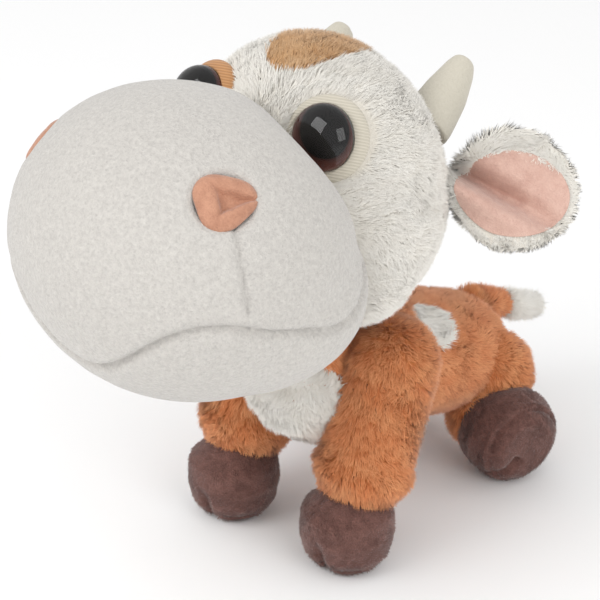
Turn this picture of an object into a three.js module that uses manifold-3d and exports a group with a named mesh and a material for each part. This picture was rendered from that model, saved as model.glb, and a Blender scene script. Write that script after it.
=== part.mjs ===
// A stuffed toy cow on four hooves, in millimetres: it faces -Y, +Z is up, and the origin is on
// the ground under the middle of the toy. The places in the tables of sizes are measured from a
// point near the ground between the front legs, and the toy is moved to its origin at the end.
import * as THREE from "three";
import { mergeVertices } from "three/addons/utils/BufferGeometryUtils.js";
import Module from "manifold-3d";

const wasm = await Module();
wasm.setup();

// Sizes, in millimetres
const gap = 0.3; // between sewn or glued pieces that touch
const play = 0.5; // between pieces that move against each other
const overrun = 400; // how far a cutting block reaches
const through = 60; // how far a cutting prism reaches
const weld = 1e-4; // how near two corners lie that are one

const longPile = 3; // thickness of the fleece, its backing and dense pile together
const shortPile = 1.6; // thickness of the velour

const ground = 2; // height of the ground that the toy stands on

const trunk = { front: -31, back: 85, low: 40, rise: 19, wide: 28, tall: 26 };
// The rings of the trunk from chest to rump: how far along, how far up its rise, and how wide and
// how tall, as shares of its sizes
const trunkShares = [
  { along: 0, rise: 0.9, wide: 0, tall: 0 },
  { along: 0.026, rise: 0.92, wide: 0.464, tall: 0.46 },
  { along: 0.13, rise: 1, wide: 0.857, tall: 0.846 },
  { along: 0.31, rise: 1, wide: 1, tall: 1 },
  { along: 0.543, rise: 0.526, wide: 1, tall: 0.885 },
  { along: 0.75, rise: 0.13, wide: 1, tall: 0.846 },
  { along: 0.897, rise: 0, wide: 0.857, tall: 0.73 },
  { along: 0.974, rise: 0, wide: 0.464, tall: 0.423 },
  { along: 1, rise: 0, wide: 0, tall: 0 },
];
const fromChest = (form) => ({ ...form, y: trunk.front + form.behind });
const fromRump = (form) => ({ ...form, y: trunk.back - form.ahead });

const head = fromChest({ behind: 21.2, z: 127.4, wide: 47.5, deep: 37.5, tall: 46 });
const muzzle = fromChest({ behind: -38, z: 129, wide: 54.3, deep: 46, tall: 45.8 });
const jowls = fromChest({ behind: -31, z: 117, wide: 55, deep: 41.5, tall: 33.5 });
const neck = { into: 6.2, radius: 19, foot: 20, low: 58, column: 8.5, rise: 12 };
const bib = { z: 54, wide: 20, tall: 21, depth: 22 };
const backPatch = fromChest({ behind: 64, z: 47, long: 10, wide: 9 });
const bag = fromRump({ ahead: 51, z: 42, wide: 30, deep: 32, tall: 23 });

const eye = { radius: 10, base: 1.2, rim: 0.9, dome: 6.2, iris: 0.6, paint: 8.8, sink: 2.2 };
const stem = { radius: 2.5, length: 15, ribs: 3, rib: 0.45, first: 5 };
const washer = { radius: 6.8, thick: 1.6, hub: 4.2, hubTall: 1.6, depth: 6.4 };
const eyePatch = {
  radius: 13.2,
  flat: 10.4,
  shoulder: 12.4,
  drop: 0.8,
  fall: 3,
  deep: 11,
  rise: 2.3,
};
const crown = fromChest({ behind: 25, wide: 12.5, long: 20, low: 20 });

const horn = { radius: 7.8, middle: 7, tip: 4.8, length: 26, sink: 2.5 };
const ear = { long: 41.5, wide: 18.8, thick: 2.8, dish: 7, sink: 2.2 };
const lining = { long: 34, wide: 15, thick: 2.4, lift: 1.5, start: 2.5 };

const nostril = { wide: 9, tall: 8.3, recess: 0.4 };
const mouth = { middle: 103, cheek: 125, cheekX: 42, corner: 116, cornerX: 56 };

const foreleg = {
  top: fromChest({ x: 26.5, behind: 30, z: 69, radius: 15.4 }),
  hem: fromChest({ x: 25.4, behind: 16, z: 27, radius: 14.6 }),
};
const forehoof = fromChest({
  behind: 10,
  base: 8.8, // radius of the flat underside
  heel: { radius: 13.6, z: 3.6 },
  waist: { radius: 16.3, z: 11.5 },
  neck: { radius: 14.4, z: 21 },
  top: 34,
});
const hip = fromRump({ x: 19, ahead: 17, z: 34.5, wide: 15, deep: 16, tall: 16 });
const knee = fromRump({ x: 20, ahead: 21, z: 23, wide: 14, deep: 16.5, tall: 16.5 });
const hindhoof = fromRump({
  x: 33,
  ahead: 25,
  z: 18.5,
  base: 11,
  heel: { radius: 15.6, z: 3.8 },
  waist: { radius: 17.2, z: 12 },
  neck: { radius: 15.6, z: 20 },
  top: 23,
  out: 11.5, // from the middle of the hoof to its sole
});
const soleTall = 2.5; // how far up the side of a hoof its sole comes
const cleft = { wide: 1.3, deep: 3, tall: 8, low: 4.2 };

const tail = fromRump({ ahead: 5, z: 52, root: 6.6, radius: 6.2, tip: 5, length: 48, seam: 22 });

// Directions, in degrees: a bearing is turned from straight ahead towards the left side, a climb
// is up from level
const eyeAt = { bearing: 41, climb: 39 };
const eyeLooks = { bearing: 4, climb: 15 };
const patchLooks = { bearing: 18, climb: 26 };
const hornAt = { bearing: 145, climb: 25 };
const hornLeans = { bearing: 180, climb: 33 };
const earAt = { bearing: 126, climb: 4 };
const earSweeps = { bearing: 139, climb: -11 };
const earFaces = { bearing: 40, climb: 27 };
const nostrilAt = {
  left: { bearing: 57.5, climb: 39.5 },
  right: { bearing: -64, climb: 34 }, // sewn a little further round and lower
};
const backPatchLooks = { bearing: 90, climb: 50 };
const hindhoofLooks = { bearing: 72, climb: -7 };
const hindToe = { bearing: -30, climb: -40 };
const tailDroops = { bearing: 180, climb: -23 };
const legSwing = 12;
const earFlap = 20;
const tailWag = 20;

// Counts
const fine = 20;
const fineRings = 12;
const plain = 10;
const plainRings = 7;
const limbSides = 12;
const limbRings = 7;
const hollowSides = 8;
const hollowRings = 5;
const quarterRings = 4;
const roundSides = 14;
const stemSides = 6;
const edgeSteps = 14;

// Materials, one for each cloth or plastic
const material = (color, roughness) =>
  new THREE.MeshStandardMaterial({ color, roughness, metalness: 0 });
const creamFleece = material(0xe4dfd2, 0.95);
const creamVelour = material(0xe2ddd2, 0.9);
const tanFleece = material(0xc67c45, 0.95);
const tanKnit = material(0xb98757, 0.9);
const ribKnit = material(0xd8d0bd, 0.9);
const pinkVelour = material(0xdcae96, 0.9);
const salmonVelour = material(0xcf8c6d, 0.9);
const brownVelour = material(0x6a4740, 0.9);
const felt = material(0xd9d5c5, 0.92);
const filling = material(0xf2f0ea, 1);
const pellets = material(0xb8b2a4, 0.95);
const clearPlastic = material(0x1c1512, 0.08);
const irisPaint = material(0x5a2c18, 0.3);
const blackPlastic = material(0x1a1a1a, 0.45);
const whitePlastic = material(0xe8e8e4, 0.5);

// Vectors, matrices and solids
const rad = THREE.MathUtils.degToRad;
const vec = (x, y, z) => new THREE.Vector3(x, y, z);
const across = vec(1, 0, 0);
const up = vec(0, 0, 1);
const askew = vec(0.36, 0.48, 0.8); // along no other direction, so it can turn any block
const mirror = new THREE.Matrix4().makeScale(-1, 1, 1);

// The direction with a bearing from straight ahead and a climb from level
function heading({ bearing, climb }) {
  const level = Math.cos(rad(climb));
  return vec(
    Math.sin(rad(bearing)) * level,
    -Math.cos(rad(bearing)) * level,
    Math.sin(rad(climb)),
  );
}

// A frame at a point, whose Z looks along a direction and whose Y is near a second direction
function frame(point, z, near = up) {
  const zAxis = z.clone().normalize();
  const xAxis = near.clone().cross(zAxis).normalize();
  const yAxis = zAxis.clone().cross(xAxis);
  return new THREE.Matrix4().makeBasis(xAxis, yAxis, zAxis).setPosition(point);
}

// The turn by an angle about an axis through a point
function turn(point, axis, angle) {
  const there = new THREE.Matrix4().makeTranslation(point.x, point.y, point.z);
  const back = new THREE.Matrix4().makeTranslation(-point.x, -point.y, -point.z);
  const spin = new THREE.Matrix4().makeRotationAxis(axis.clone().normalize(), rad(angle));
  return there.multiply(spin).multiply(back);
}

// A geometry, after any matrices, as a solid that can be joined and cut
function solid(geometry, ...matrices) {
  const shape = geometry.clone();
  shape.deleteAttribute("normal");
  shape.deleteAttribute("uv");
  let side = 1;
  for (const matrix of matrices) {
    shape.applyMatrix4(matrix);
    side *= Math.sign(matrix.determinant());
  }
  const merged = mergeVertices(shape, weld);
  const triVerts = new Uint32Array(merged.index.array);
  if (side < 0) {
    triVerts.reverse();
  }
  const vertProperties = merged.attributes.position.array;
  return new wasm.Manifold(new wasm.Mesh({ numProp: 3, vertProperties, triVerts }));
}

// A solid back as a geometry
function geometryOf(shape) {
  const { vertProperties, triVerts } = shape.getMesh();
  return new THREE.BufferGeometry()
    .setAttribute("position", new THREE.Float32BufferAttribute(vertProperties, 3))
    .setIndex(new THREE.Uint32BufferAttribute(triVerts, 1));
}

const joined = (shapes) => shapes.reduce((all, next) => all.add(next));
const mirrored = (shape) => solid(geometryOf(shape), mirror);
const paired = (shape) => shape.add(mirrored(shape));

// A solid at both ends of its turn
function swept(shape, point, axis, angle) {
  const geometry = geometryOf(shape);
  return joined([-angle, angle].map((bend) => solid(geometry, turn(point, axis, bend))));
}

// Forms

// An egg about the middle plane, with its poles in front and behind
function egg(form, less, sides = fine, rings = fineRings) {
  return solid(
    new THREE.SphereGeometry(1, sides, rings)
      .scale(form.wide - less, form.deep - less, form.tall - less)
      .translate(form.x ?? 0, form.y, form.z),
  );
}

// How much wider a coarse round has to be for its flat sides to clear the round inside it
const clear = (sides) => 1 / Math.cos(Math.PI / sides);

// A form turned about its own Z axis, from its outline of radius and height
function turned(outline, sides = roundSides) {
  const points = outline.map(([radius, height]) => new THREE.Vector2(radius, height));
  return new THREE.LatheGeometry(points, sides).rotateX(Math.PI / 2);
}

// A block that fills all that lies on one side of a plane
function beyond(point, normal) {
  return solid(
    new THREE.BoxGeometry(overrun, overrun, overrun).translate(0, 0, overrun / 2),
    frame(point, normal, askew),
  );
}

// An oval prism about its own Z axis, from one height to another
function prism(wide, long, from, to) {
  return new THREE.CylinderGeometry(1, 1, to - from, roundSides)
    .rotateX(Math.PI / 2)
    .scale(wide, long, 1)
    .translate(0, 0, (from + to) / 2);
}

// The place on an egg in a direction from its middle
function seat(form, at) {
  const ray = heading(at);
  return vec(ray.x * form.wide, ray.y * form.deep + form.y, ray.z * form.tall + form.z);
}

// The torso: rings that swell from the chest to the rump and close at both ends
function torsoForm(less, sides = fine, rings = fineRings) {
  const length = trunk.back - trunk.front;
  const places = trunkShares.map(({ along, rise }) =>
    vec(0, trunk.front + along * length, trunk.low + rise * trunk.rise));
  const sizes = trunkShares.map(({ wide, tall }) => vec(wide * trunk.wide, tall * trunk.tall, 0));
  const spine = new THREE.CatmullRomCurve3(places);
  const girth = new THREE.CatmullRomCurve3(sizes);
  const first = places[0];
  const last = places[places.length - 1];
  const middle = (first.y + last.y) / 2;
  const shrink = 1 - (2 * less) / length;
  const drawn = (y) => middle + (y - middle) * shrink;
  const points = [0, drawn(first.y), first.z];
  const faces = [];
  for (let i = 1; i < rings; i++) {
    const centre = spine.getPoint(i / rings);
    const size = girth.getPoint(i / rings);
    const wide = Math.max(size.x - less, size.x / 2);
    const tall = Math.max(size.y - less, size.y / 2);
    for (let j = 0; j < sides; j++) {
      const angle = (2 * Math.PI * j) / sides;
      points.push(wide * Math.cos(angle), drawn(centre.y), centre.z + tall * Math.sin(angle));
    }
  }
  points.push(0, drawn(last.y), last.z);
  const tip = points.length / 3 - 1;
  for (let j = 0; j < sides; j++) {
    const next = (j + 1) % sides;
    faces.push(0, 1 + j, 1 + next);
    for (let i = 0; i < rings - 2; i++) {
      const a = 1 + i * sides;
      const b = a + sides;
      faces.push(a + j, b + j, a + next, a + next, b + j, b + next);
    }
    faces.push(tip - sides + j, tip, tip - sides + next);
  }
  return solid(
    new THREE.BufferGeometry()
      .setAttribute("position", new THREE.Float32BufferAttribute(points, 3))
      .setIndex(faces),
  );
}

// The collar that joins the torso to the head
function collarForm(less, top) {
  const outline = [
    [0, neck.low],
    [neck.foot - less, neck.low],
    [neck.radius - less, neckTop],
    [neck.radius - less, top],
    [0, top],
  ];
  return solid(turned(outline).translate(0, head.y, 0));
}

// A front leg: round at the shoulder, and straight past its hem
function forelegForm(less, sides = limbSides, rings = quarterRings) {
  const top = vec(foreleg.top.x, foreleg.top.y, foreleg.top.z);
  const hem = vec(foreleg.hem.x, foreleg.hem.y, foreleg.hem.z);
  const length = top.distanceTo(hem);
  const topRadius = foreleg.top.radius - less;
  const hemRadius = foreleg.hem.radius - less;
  const outline = [];
  for (let i = 0; i <= rings; i++) {
    const angle = (Math.PI / 2) * (i / rings);
    outline.push([i === 0 ? 0 : topRadius * Math.sin(angle), -topRadius * Math.cos(angle)]);
  }
  outline.push([hemRadius, length], [hemRadius, length + foreleg.hem.radius]);
  outline.push([0, length + foreleg.hem.radius]);
  return solid(turned(outline, sides), frame(top, hem.clone().sub(top), vec(0, -1, 0)));
}

// A hoof about its own Z axis, with its underside at the bottom
function hoofForm(hoof, less, sides = limbSides) {
  const foot = less > 0 ? -less : 0;
  const top = less > 0 ? hoof.top + longPile : hoof.top - less;
  return turned(
    [
      [0, foot],
      [hoof.base - less, foot],
      [hoof.heel.radius - less, hoof.heel.z],
      [hoof.waist.radius - less, hoof.waist.z],
      [hoof.neck.radius - less, hoof.neck.z],
      [hoof.neck.radius - less, top],
      [0, top],
    ],
    sides,
  );
}

// The cleft of the toes: a slit in the front of a hoof, open below and in front
function cleftForm(hoof, more) {
  const edge = hoof.heel.radius - cleft.deep - more;
  const wide = cleft.wide + more;
  return solid(
    new THREE.CylinderGeometry(wide, wide, through, stemSides)
      .scale(1, 1, (cleft.tall / 2 + more) / wide)
      .translate(0, -edge - through / 2, cleft.low + cleft.tall / 2),
  );
}

// A leaf from the root of an ear, along Y, that hollows towards its front
function leafForm(leaf, more, from, lift, sides = plain, rings = plainRings) {
  const shape = new THREE.SphereGeometry(1, sides, rings);
  const places = shape.attributes.position;
  for (let i = 0; i < places.count; i++) {
    const x = places.getX(i) * (leaf.wide + more);
    const y = from + leaf.long / 2 + places.getY(i) * (leaf.long / 2 + more);
    const bend = ear.dish * (x / ear.wide) ** 2;
    places.setXYZ(i, x, y, places.getZ(i) * (leaf.thick / 2 + more) + bend + lift);
  }
  return shape;
}

// The side of the mouth line that the chin lies on, raised by a clearance
function chinForm(more) {
  const { middle, cheek, cheekX, corner, cornerX } = mouth;
  const line = new THREE.SplineCurve(
    [
      [-through, corner],
      [-cornerX, corner],
      [-cheekX, cheek],
      [0, middle],
      [cheekX, cheek],
      [cornerX, corner],
      [through, corner],
    ].map(([x, z]) => new THREE.Vector2(x, z + more)),
  );
  const shape = new THREE.Shape(line.getPoints(edgeSteps));
  shape.lineTo(through, 0);
  shape.lineTo(-through, 0);
  const block = new THREE.ExtrudeGeometry(shape, { depth: overrun, bevelEnabled: false });
  return solid(block.rotateX(Math.PI / 2).translate(0, overrun / 2, 0));
}

// The tail along its own Z axis, from a round root to a round tip
function tailForm(more, from, to) {
  const outline = [[0, -tail.root - more]];
  for (let i = 1; i <= quarterRings; i++) {
    const angle = (Math.PI / 2) * (i / quarterRings);
    const root = tail.root + more;
    outline.push([root * Math.sin(angle), -root * Math.cos(angle)]);
  }
  const end = tail.length - tail.tip;
  outline.push([tail.radius + more, tail.seam]);
  for (let i = 0; i < quarterRings; i++) {
    const angle = (Math.PI / 2) * (i / quarterRings);
    const tip = tail.tip + more;
    outline.push([tip * Math.cos(angle), end + tip * Math.sin(angle)]);
  }
  outline.push([0, tail.length + more]);
  const whole = solid(turned(outline, hollowSides));
  const slice = solid(prism(through, through, from, to));
  return solid(geometryOf(whole.intersect(slice)), tailFrame);
}

// Where everything sits
const neckTop = head.z - head.tall + neck.into;
const neckPivot = vec(0, head.y, neckTop);
const headSide = beyond(vec(0, 0, neckTop + play / 2), up);
const torsoSide = beyond(vec(0, 0, neckTop - play / 2), vec(0, 0, -1));

const eyeSeat = seat(head, eyeAt);
const patchTop = eyeSeat.clone().addScaledVector(heading(patchLooks), eyePatch.rise);
const patchFrame = frame(patchTop, heading(patchLooks));
const eyeBase = patchTop.clone().addScaledVector(heading(eyeLooks), -eye.sink);
const eyeFrame = frame(eyeBase, heading(eyeLooks));

const hornFrame = frame(seat(head, hornAt), heading(hornLeans));
const earSeat = seat(head, earAt);
const earFrame = frame(earSeat, heading(earFaces), heading(earSweeps));
const earAxis = vec(0, 0, 0).setFromMatrixColumn(earFrame, 0);

const backPatchFrame = frame(vec(0, backPatch.y, backPatch.z), heading(backPatchLooks));
const bibFrame = frame(vec(0, 0, bib.z), vec(0, -1, 0));

const foreTop = vec(foreleg.top.x, foreleg.top.y, foreleg.top.z);
const foreHem = vec(foreleg.hem.x, foreleg.hem.y, foreleg.hem.z);
const foreAxis = foreHem.clone().sub(foreTop).normalize();
const foreBack = foreAxis.clone().negate();
const foreFrame = frame(vec(foreleg.hem.x, forehoof.y, ground), up, vec(0, 1, 0));

const hipPivot = vec(hip.x, hip.y, hip.z);
const hindLooks = heading(hindhoofLooks);
const hindSole = vec(hindhoof.x, hindhoof.y, hindhoof.z).addScaledVector(hindLooks, hindhoof.out);
const hindFrame = frame(hindSole, hindLooks.clone().negate(), heading(hindToe).negate());

const tailRoot = vec(0, tail.y, tail.z);
const tailFrame = frame(tailRoot, heading(tailDroops), across);

// Eye, along its own Z axis from the patch that it sits on
const stemLow = -stem.length;
const ribStep = (stem.length - stem.first) / stem.ribs;
const stemOutline = [[0, stemLow]];
for (let i = 0; i < stem.ribs; i++) {
  stemOutline.push([stem.radius, stemLow + i * ribStep]);
  stemOutline.push([stem.radius + stem.rib, stemLow + (i + 1) * ribStep - stem.rib]);
}
stemOutline.push([stem.radius, stemLow + stem.ribs * ribStep]);
const eyeBack = turned([
  ...stemOutline,
  [stem.radius, 0],
  [eye.radius, 0],
  [eye.radius, eye.base],
  [0, eye.base],
], hollowSides);
const irisLow = eye.base + gap;
const irisTop = irisLow + eye.iris;
const eyeIris = turned([
  [0, irisLow],
  [eye.paint, irisLow],
  [eye.paint, irisTop],
  [0, irisTop],
]);
const domeLow = irisLow + eye.rim;
const domeOutline = [
  [0, irisTop + gap],
  [eye.paint + gap, irisTop + gap],
  [eye.paint + gap, irisLow],
  [eye.radius, irisLow],
];
const capOutline = (more) => {
  const outline = [];
  for (let i = 0; i < quarterRings; i++) {
    const angle = (Math.PI / 2) * (i / quarterRings);
    const wide = (eye.radius + more) * Math.cos(angle);
    outline.push([wide, domeLow + (eye.dome + more) * Math.sin(angle)]);
  }
  outline.push([0, domeLow + eye.dome + more]);
  return outline;
};
const eyeDome = turned([...domeOutline, ...capOutline(0)]);
const washerTop = -washer.depth;
const washerBore = stem.radius + stem.rib + gap;
const eyeWasher = turned([
  [washerBore, washerTop],
  [washerBore, washerTop - washer.thick - washer.hubTall],
  [washer.hub, washerTop - washer.thick - washer.hubTall],
  [washer.hub, washerTop - washer.thick],
  [washer.radius, washerTop - washer.thick],
  [washer.radius, washerTop],
  [washerBore, washerTop],
]);
// The room that the eye takes: its stem, its washer, and all that stands in front of its back
const washerRoom = [
  [0, washerTop - washer.thick - washer.hubTall - gap],
  [washer.radius + gap, washerTop - washer.thick - washer.hubTall - gap],
  [washer.radius + gap, washerTop + gap],
  [0, washerTop + gap],
];
const stemRoom = prism(washerBore, washerBore, stemLow - gap, eye.base);
const frontRoom = prism(eye.radius + gap, eye.radius + gap, -gap, eye.radius);
const eyeRoom = paired(
  joined([
    solid(turned(washerRoom), eyeFrame),
    solid(stemRoom, eyeFrame),
    solid(frontRoom, eyeFrame),
  ]),
);
const domeRoom = paired(
  solid(
    turned([[0, 0], [eye.radius + gap, 0], ...capOutline(gap)]),
    eyeFrame,
  ),
);

// Head
const headEgg = (less) => egg(head, less, plain, plainRings);
const muzzleForm = (less, sides, rings) =>
  egg(muzzle, less, sides, rings).add(egg(jowls, less, sides, rings));
const muzzleOuter = muzzleForm(0);
const muzzleRoom = muzzleForm(-gap);
const muzzleHollow = (less) => muzzleForm(less, plain, plainRings);
const headShell = egg(head, 0).subtract(headEgg(longPile)).intersect(headSide);
const muzzleShell = muzzleOuter.subtract(muzzleHollow(shortPile)).subtract(egg(head, -gap));

const patchForm = (more) =>
  solid(
    turned([
      [0, -eyePatch.deep],
      [eyePatch.radius + more, -eyePatch.deep],
      [eyePatch.radius + more, -eyePatch.fall],
      [eyePatch.shoulder + more, more - eyePatch.drop],
      [eyePatch.flat, more],
      [0, more],
    ]),
    patchFrame,
  );
const leftPatch = patchForm(0)
  .subtract(headEgg(longPile))
  .subtract(muzzleRoom)
  .subtract(eyeRoom);

const crownForm = (more) =>
  solid(
    prism(crown.wide + more, crown.long + more, head.z + crown.low, head.z + through)
      .translate(0, crown.y, 0),
  );

const hornForm = (more) => {
  const tip = horn.tip + more;
  const end = horn.length - horn.tip;
  const outline = [
    [0, -horn.sink - more],
    [horn.radius + more, -horn.sink - more],
    [horn.middle + more, horn.length / 2],
    [tip, end],
    [tip * Math.cos(rad(45)), end + tip * Math.sin(rad(45))],
    [0, end + tip],
  ];
  return solid(turned(outline, limbSides), hornFrame);
};
const leftHorn = hornForm(0).subtract(headEgg(longPile));

const earForm = leafForm(ear, 0, -ear.sink, 0);
const leftEar = solid(earForm, earFrame);
const earLift = new THREE.Matrix4().makeTranslation(0, 0, gap);
const leftLining = solid(leafForm(lining, 0, lining.start, lining.lift), earFrame)
  .subtract(leftEar)
  .subtract(solid(earForm, earLift, earFrame));
const earRoomForm = leafForm(ear, play, -ear.sink, 0);
const earRoomRest = solid(earRoomForm, earFrame);
const earRoom = paired(earRoomRest.add(swept(earRoomRest, earSeat, earAxis, earFlap)));

// The prism that a nostril pad fills, square to the muzzle
function nostrilForm(more, at) {
  const place = seat(muzzle, at);
  const outward = vec(
    place.x / muzzle.wide ** 2,
    (place.y - muzzle.y) / muzzle.deep ** 2,
    (place.z - muzzle.z) / muzzle.tall ** 2,
  );
  const block = prism(nostril.wide + more, nostril.tall + more, -muzzle.tall / 2, through);
  return solid(block, frame(place, outward));
}
const nostrilPad = (at) =>
  egg(muzzle, nostril.recess).subtract(muzzleHollow(shortPile)).intersect(nostrilForm(0, at));

const columnRoom = solid(
  prism(neck.column + play, neck.column + play, neckTop - play, neckTop + neck.rise + play)
    .translate(0, head.y, 0),
);
const headPlush = headShell
  .subtract(muzzleRoom)
  .subtract(paired(patchForm(gap)))
  .subtract(eyeRoom)
  .subtract(crownForm(gap))
  .subtract(paired(hornForm(gap)))
  .subtract(earRoom)
  .subtract(columnRoom);
const crownPatch = headShell.intersect(crownForm(0));
const chinPanel = muzzleShell.intersect(chinForm(0));
const muzzlePlush = muzzleShell
  .subtract(chinForm(gap))
  .subtract(nostrilForm(gap, nostrilAt.left))
  .subtract(nostrilForm(gap, nostrilAt.right))
  .subtract(domeRoom);
const headStuffing = headEgg(longPile + gap)
  .add(muzzleHollow(shortPile + gap))
  .intersect(headSide)
  .subtract(columnRoom)
  .subtract(eyeRoom)
  .subtract(earRoom);

// Legs
const legHollow = (less) => forelegForm(less, hollowSides, quarterRings);
const legPlush = forelegForm(0)
  .subtract(legHollow(longPile))
  .intersect(beyond(foreHem.clone().addScaledVector(foreAxis, -gap / 2), foreBack));
const hoofSide = beyond(foreHem.clone().addScaledVector(foreAxis, gap / 2), foreAxis);
const hoofSolid = (hoof, less, at) =>
  solid(hoofForm(hoof, less), at)
    .subtract(solid(geometryOf(cleftForm(hoof, less)), at));
const hoofSlice = (from, to, at) => solid(prism(through, through, from, to), at);
const hoofShell = (hoof, at) =>
  hoofSolid(hoof, 0, at)
    .subtract(hoofSolid(hoof, shortPile, at))
    .intersect(hoofSlice(soleTall + gap, through, at));
const hoofFilling = (hoof, at) =>
  hoofSolid(hoof, shortPile + gap, at)
    .intersect(hoofSlice(soleTall + gap, through, at));
const soleForm = (hoof, at) => solid(hoofForm(hoof, 0), at).intersect(hoofSlice(0, soleTall, at));
const leftForehoof = hoofShell(forehoof, foreFrame).intersect(hoofSide);
const leftForesole = soleForm(forehoof, foreFrame);
const foreFilling = hoofFilling(forehoof, foreFrame);
const legFilling = legHollow(longPile + gap)
  .intersect(beyond(foreHem, foreBack))
  .add(foreFilling.intersect(beyond(foreHem, foreAxis)))
  .add(foreFilling.intersect(legHollow(longPile + gap)));
const shaftWide = (foreleg.top.radius + 2 * play) * clear(hollowSides);
const foreShaft = solid(
  new THREE.CylinderGeometry(shaftWide, shaftWide, through, hollowSides)
    .rotateX(Math.PI / 2)
    .translate(0, 0, through / 2),
  frame(foreTop, foreAxis, vec(0, -1, 0)),
);
const foreRoom = paired(
  forelegForm(-play).add(swept(foreShaft, foreTop, across, legSwing)),
);

const thighForm = (less, sides, rings) =>
  egg(hip, less, sides, rings).add(egg(knee, less, sides, rings));
const thighHollow = (less) => thighForm(less, hollowSides, hollowRings);
const overGround = beyond(vec(0, 0, ground), up);
const hindRoomForm = solid(hoofForm(hindhoof, -gap), hindFrame);
const thighPlush = thighForm(0, limbSides, limbRings)
  .subtract(thighHollow(longPile))
  .subtract(hindRoomForm);
const leftHindhoof = hoofShell(hindhoof, hindFrame).intersect(overGround);
const leftHindsole = soleForm(hindhoof, hindFrame).intersect(overGround);
const hindFilling = hoofFilling(hindhoof, hindFrame);
const thighFilling = thighHollow(longPile + gap)
  .subtract(hindRoomForm)
  .add(hindFilling.intersect(hindRoomForm))
  .add(hindFilling.intersect(thighHollow(longPile + gap)));
// The room of a thigh clears the knee's swing and the flat sides of the thigh as it turns
const kneeArm = Math.hypot(hip.y - knee.y, hip.z - knee.z);
const kneeSwing = 2 * kneeArm * Math.sin(rad(legSwing / 2));
const thighPlay = play + hip.tall * (clear(fine) - 1) * 2;
const hindRoom = paired(egg(hip, -thighPlay).add(egg(knee, -thighPlay - kneeSwing)));

// Tail
const tailPlush = tailForm(0, -through, tail.seam - gap / 2);
const tailTip = tailForm(0, tail.seam + gap / 2, through);
const tailRoom = tailForm(play, -through, through)
  .add(swept(tailForm(play, 0, through), tailRoot, up, tailWag));

// Torso
const torsoRooms = joined([foreRoom, hindRoom, tailRoom]);
const torsoShell = torsoForm(0)
  .add(collarForm(0, neckTop))
  .subtract(torsoForm(longPile, plain, plainRings))
  .subtract(collarForm(longPile, neckTop + play))
  .intersect(torsoSide)
  .subtract(torsoRooms);
const bibForm = (more) =>
  solid(prism(bib.wide + more, bib.tall + more, bib.depth / 2, through), bibFrame);
const backPatchForm = (more) =>
  solid(prism(backPatch.long + more, backPatch.wide + more, 0, through), backPatchFrame);
const chestPanel = torsoShell.intersect(bibForm(0));
const leftBackPatch = torsoShell.intersect(backPatchForm(0));
const bodyPlush = torsoShell.subtract(bibForm(gap)).subtract(backPatchForm(gap));
const column = solid(
  prism(neck.column, neck.column, neck.low, neckTop + neck.rise).translate(0, head.y, 0),
);
const fillingForm = torsoForm(longPile + gap, plain, plainRings);
const bodyStuffing = fillingForm
  .add(collarForm(longPile + gap, neckTop))
  .intersect(torsoSide)
  .add(column)
  .subtract(torsoRooms)
  .subtract(egg(bag, -gap, plain, plainRings));
const pelletBag = fillingForm
  .intersect(egg(bag, 0, plain, plainRings))
  .subtract(torsoRooms);

// Groups, each at the point that it moves about
function groupAt(point, parent) {
  const group = new THREE.Group();
  group.userData.pivot = point;
  group.position.copy(point);
  if (parent) {
    group.position.sub(parent.userData.pivot);
    parent.add(group);
  }
  return group;
}
const opposite = (point) => vec(-point.x, point.y, point.z);

function mesh(group, name, shape, material) {
  const { x, y, z } = group.userData.pivot;
  const piece = new THREE.Mesh(geometryOf(shape).translate(-x, -y, -z), material);
  piece.name = name;
  group.add(piece);
}

const cow = groupAt(vec(0, 0, 0));
mesh(cow, "body_plush", bodyPlush, tanFleece);
mesh(cow, "chest_panel", chestPanel, creamFleece);
mesh(cow, "back_patch", leftBackPatch, creamFleece);
mesh(cow, "body_stuffing", bodyStuffing, filling);
mesh(cow, "pellet_bag", pelletBag, pellets);

const headGroup = groupAt(neckPivot, cow);
mesh(headGroup, "head_plush", headPlush, creamFleece);
mesh(headGroup, "crown_patch", crownPatch, tanFleece);
mesh(headGroup, "head_stuffing", headStuffing, filling);
mesh(headGroup, "muzzle_plush", muzzlePlush, creamVelour);
mesh(headGroup, "chin_panel", chinPanel, creamVelour);

const tailGroup = groupAt(tailRoot, cow);
mesh(tailGroup, "tail_plush", tailPlush, tanFleece);
mesh(tailGroup, "tail_tip", tailTip, creamFleece);

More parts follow.
